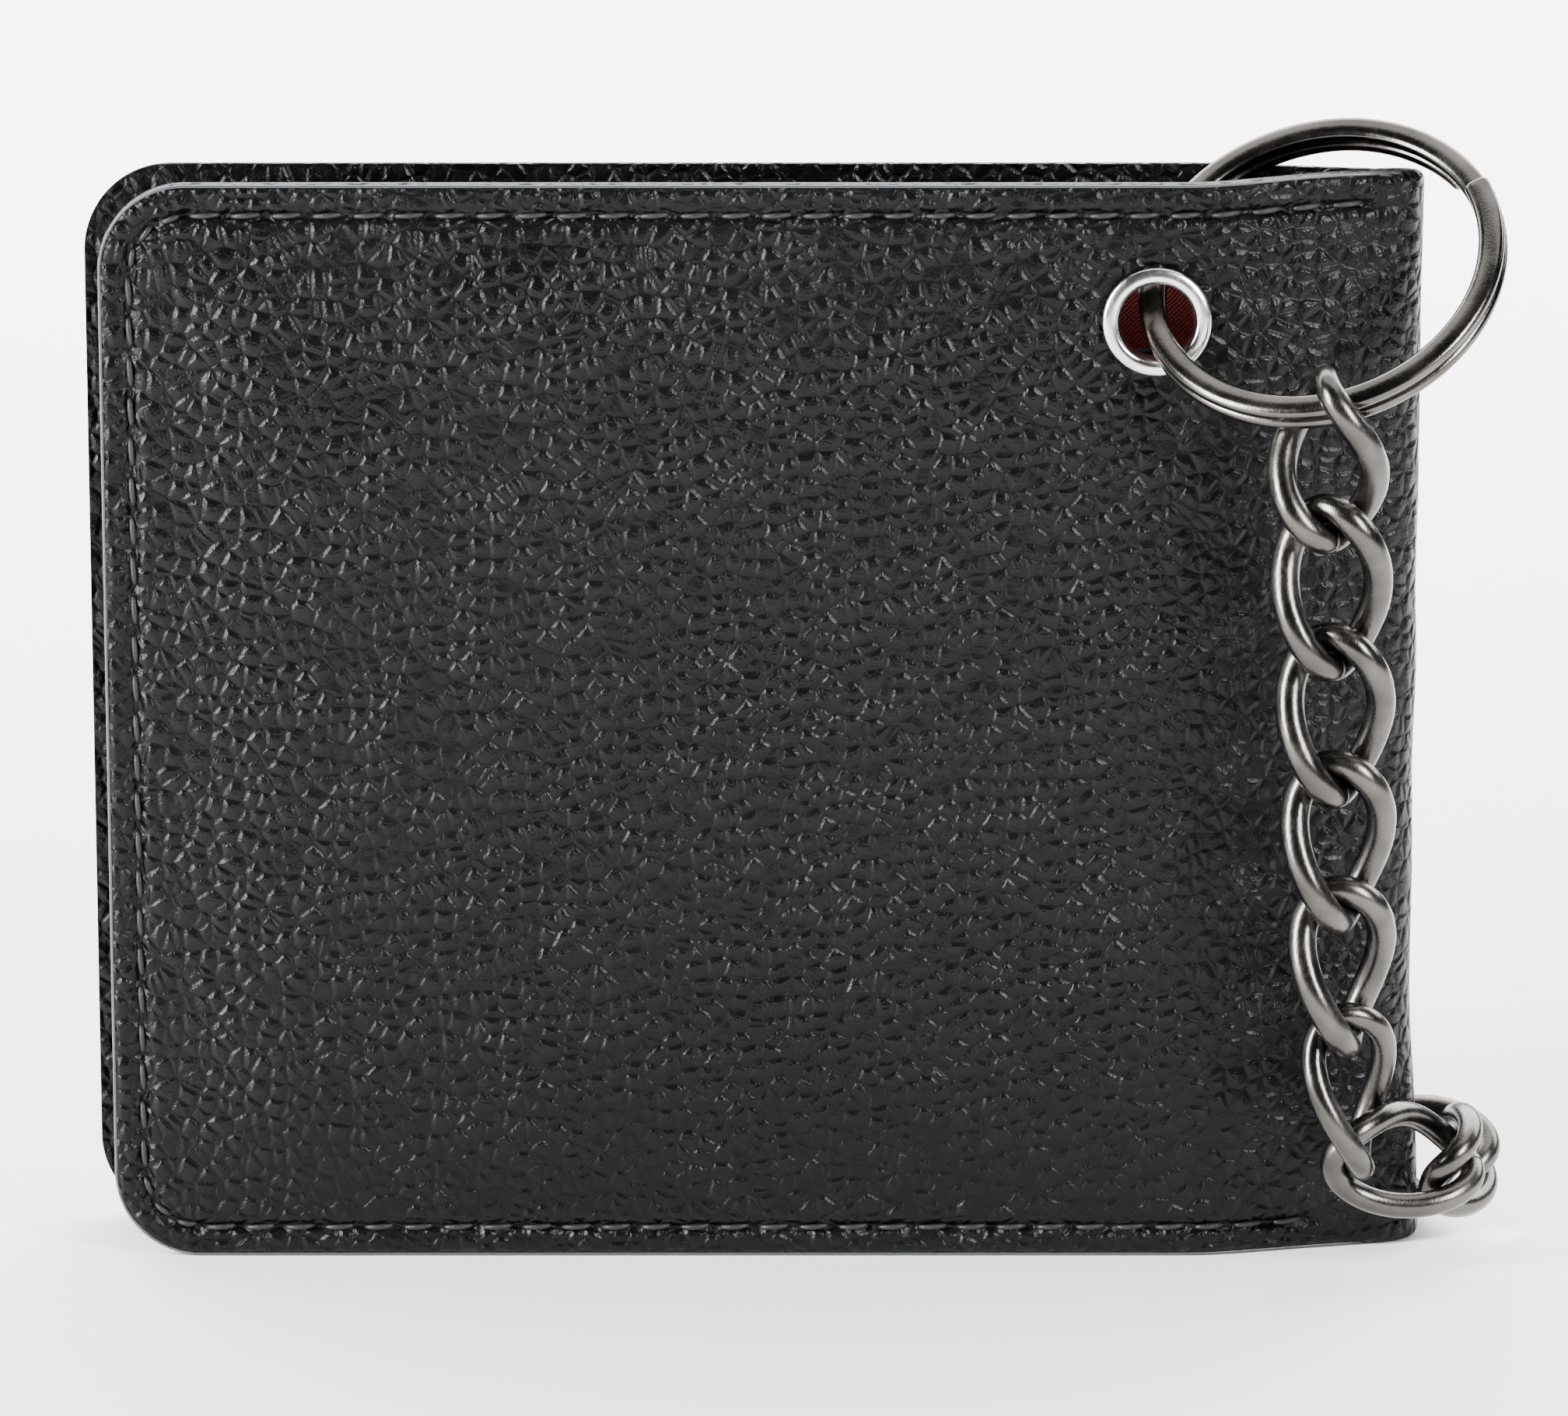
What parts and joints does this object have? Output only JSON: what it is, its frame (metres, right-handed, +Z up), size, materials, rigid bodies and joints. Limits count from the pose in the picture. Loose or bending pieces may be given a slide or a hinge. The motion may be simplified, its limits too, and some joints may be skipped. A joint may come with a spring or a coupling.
{
  "type": "bifold chain wallet",
  "caption": "Bifold leather wallet standing on its long edge, with an eyelet, a split key ring and a curb chain ending in a swivel snap.",
  "frame": {"origin": "middle of the bounding box of the whole object, on the floor plane it stands on", "axes": "+X along the cover from its free edge to the spine, +Y from the front cover to the back cover, +Z up the spine"},
  "size_m": [0.1246, 0.0448, 0.0996],
  "materials": {
    "outer_leather": "black pebbled leather, semi-gloss",
    "inner_leather": "black fine-grained leather, satin (guessed)",
    "red_lining": "dark red lining, matte",
    "thread": "black waxed thread",
    "nickel": "bright nickel plate",
    "ring_steel": "gunmetal plate, semi-polished",
    "chain_steel": "gunmetal plate, satin",
    "snap_steel": "gunmetal plate, satin"
  },
  "bodies": {
    "back_half": {"back_bill_lining": "red_lining", "back_cover": "outer_leather", "back_inner_panel": "inner_leather", "back_lining": "red_lining", "back_pocket_1": "inner_leather", "back_pocket_2": "inner_leather", "back_pocket_3": "inner_leather", "back_stitching": "thread", "spine_leather": "outer_leather"},
    "front_half": {"eyelet": "nickel", "eyelet_washer": "nickel", "front_bill_lining": "red_lining", "front_cover": "outer_leather", "front_inner_panel": "inner_leather", "front_lining": "red_lining", "front_pocket_1": "inner_leather", "front_pocket_2": "inner_leather", "front_pocket_3": "inner_leather", "front_stitching": "thread"},
    "ring": {"key_ring": "ring_steel"},
    "link_01": {"chain_link_01": "chain_steel"},
    "link_02": {"chain_link_02": "chain_steel"},
    "link_03": {"chain_link_03": "chain_steel"},
    "link_04": {"chain_link_04": "chain_steel"},
    "link_05": {"chain_link_05": "chain_steel"},
    "link_06": {"chain_link_06": "chain_steel"},
    "link_07": {"chain_link_07": "chain_steel"},
    "link_08": {"chain_link_08": "chain_steel"},
    "link_09": {"chain_link_09": "chain_steel"},
    "link_10": {"chain_link_10": "chain_steel"},
    "link_11": {"chain_link_11": "chain_steel"},
    "link_12": {"chain_link_12": "chain_steel"},
    "link_13": {"chain_link_13": "chain_steel"},
    "link_14": {"chain_link_14": "chain_steel"},
    "link_15": {"chain_link_15": "chain_steel"},
    "eye": {"snap_eye": "snap_steel"},
    "hook": {"snap_hook": "snap_steel"},
    "gate": {"snap_gate": "snap_steel"}
  },
  "joints": [
    {"name": "fold", "type": "hinge", "parent": "back_half", "child": "front_half", "pos_m": [0.05006, 0.0002, 0], "axis": [0, 0, 1], "range_deg": [0, 130], "deforming": ["spine_leather"]},
    {"name": "ring_rock", "type": "hinge", "parent": "front_half", "child": "ring", "pos_m": [0.03066, -0.0063, 0.0834], "axis": [0, 1, 0], "range_deg": [-10, 0]},
    {"name": "link_01_swing", "type": "hinge", "parent": "ring", "child": "link_01", "pos_m": [0.04466, -0.01855, 0.079], "axis": [0, 1, 0], "range_deg": [-12, 0]},
    {"name": "link_02_swing", "type": "hinge", "parent": "link_01", "child": "link_02", "pos_m": [0.04516, -0.0179, 0.06775], "axis": [0, 0, 1], "range_deg": [-12, 0]},
    {"name": "link_03_swing", "type": "hinge", "parent": "link_02", "child": "link_03", "pos_m": [0.04576, -0.0172, 0.0565], "axis": [0, 1, 0], "range_deg": [-12, 0]},
    {"name": "link_04_swing", "type": "hinge", "parent": "link_03", "child": "link_04", "pos_m": [0.04626, -0.0165, 0.04525], "axis": [0, 0, 1], "range_deg": [-12, 0]},
    {"name": "link_05_swing", "type": "hinge", "parent": "link_04", "child": "link_05", "pos_m": [0.04676, -0.0158, 0.034], "axis": [0, 1, 0], "range_deg": [-12, 0]},
    {"name": "link_06_swing", "type": "hinge", "parent": "link_05", "child": "link_06", "pos_m": [0.04746, -0.0151, 0.02275], "axis": [0, 0, 1], "range_deg": [-12, 0]},
    {"name": "link_07_swing", "type": "hinge", "parent": "link_06", "child": "link_07", "pos_m": [0.04863, -0.01389, 0.01099], "axis": [0, 1, 0], "range_deg": [-5, 0]},
    {"name": "link_08_swing", "type": "hinge", "parent": "link_07", "child": "link_08", "pos_m": [0.05721, -0.00963, 0.00924], "axis": [0, 0, 1], "range_deg": [-65, 0]},
    {"name": "link_09_swing", "type": "hinge", "parent": "link_08", "child": "link_09", "pos_m": [0.05983, 0.00033, 0.00703], "axis": [0, 0, 1], "range_deg": [-65, 0]},
    {"name": "link_10_swing", "type": "hinge", "parent": "link_09", "child": "link_10", "pos_m": [0.05277, 0.00811, 0.00582], "axis": [0, 0, 1], "range_deg": [-12, 0]},
    {"name": "link_11_swing", "type": "hinge", "parent": "link_10", "child": "link_11", "pos_m": [0.04236, 0.012, 0.0055], "axis": [0, 1, 0], "range_deg": [-15, 15]},
    {"name": "link_12_swing", "type": "hinge", "parent": "link_11", "child": "link_12", "pos_m": [0.03116, 0.0134, 0.0053], "axis": [0, 0, 1], "range_deg": [-12, 0]},
    {"name": "link_13_swing", "type": "hinge", "parent": "link_12", "child": "link_13", "pos_m": [0.02001, 0.0142, 0.0053], "axis": [0, -1, 0], "range_deg": [-15, 15]},
    {"name": "link_14_swing", "type": "hinge", "parent": "link_13", "child": "link_14", "pos_m": [0.00881, 0.0149, 0.0053], "axis": [0, 0, 1], "range_deg": [-12, 0]},
    {"name": "link_15_swing", "type": "hinge", "parent": "link_14", "child": "link_15", "pos_m": [-0.00239, 0.0155, 0.0053], "axis": [0, 1, 0], "range_deg": [-15, 15]},
    {"name": "snap_swing", "type": "hinge", "parent": "link_15", "child": "eye", "pos_m": [-0.01364, 0.016, 0.0053], "axis": [0, -1, 0], "range_deg": [-15, 6]},
    {"name": "snap_swivel", "type": "hinge", "parent": "eye", "child": "hook", "pos_m": [-0.02194, 0.016, 0.00443], "axis": [-0.9945, 0, -0.1045], "range_deg": [-90, 90]},
    {"name": "gate_spring", "type": "hinge", "parent": "hook", "child": "gate", "pos_m": [-0.02841, 0.02035, 0.00375], "axis": [-0.1045, 0, 0.9945], "range_deg": [0, 18], "stiffness_Nm_per_rad": 0.002}
  ],
  "couplings": [
    {"joint": "link_08_swing", "follows": "fold", "ratio": -0.5},
    {"joint": "link_09_swing", "follows": "fold", "ratio": -0.5}
  ]
}
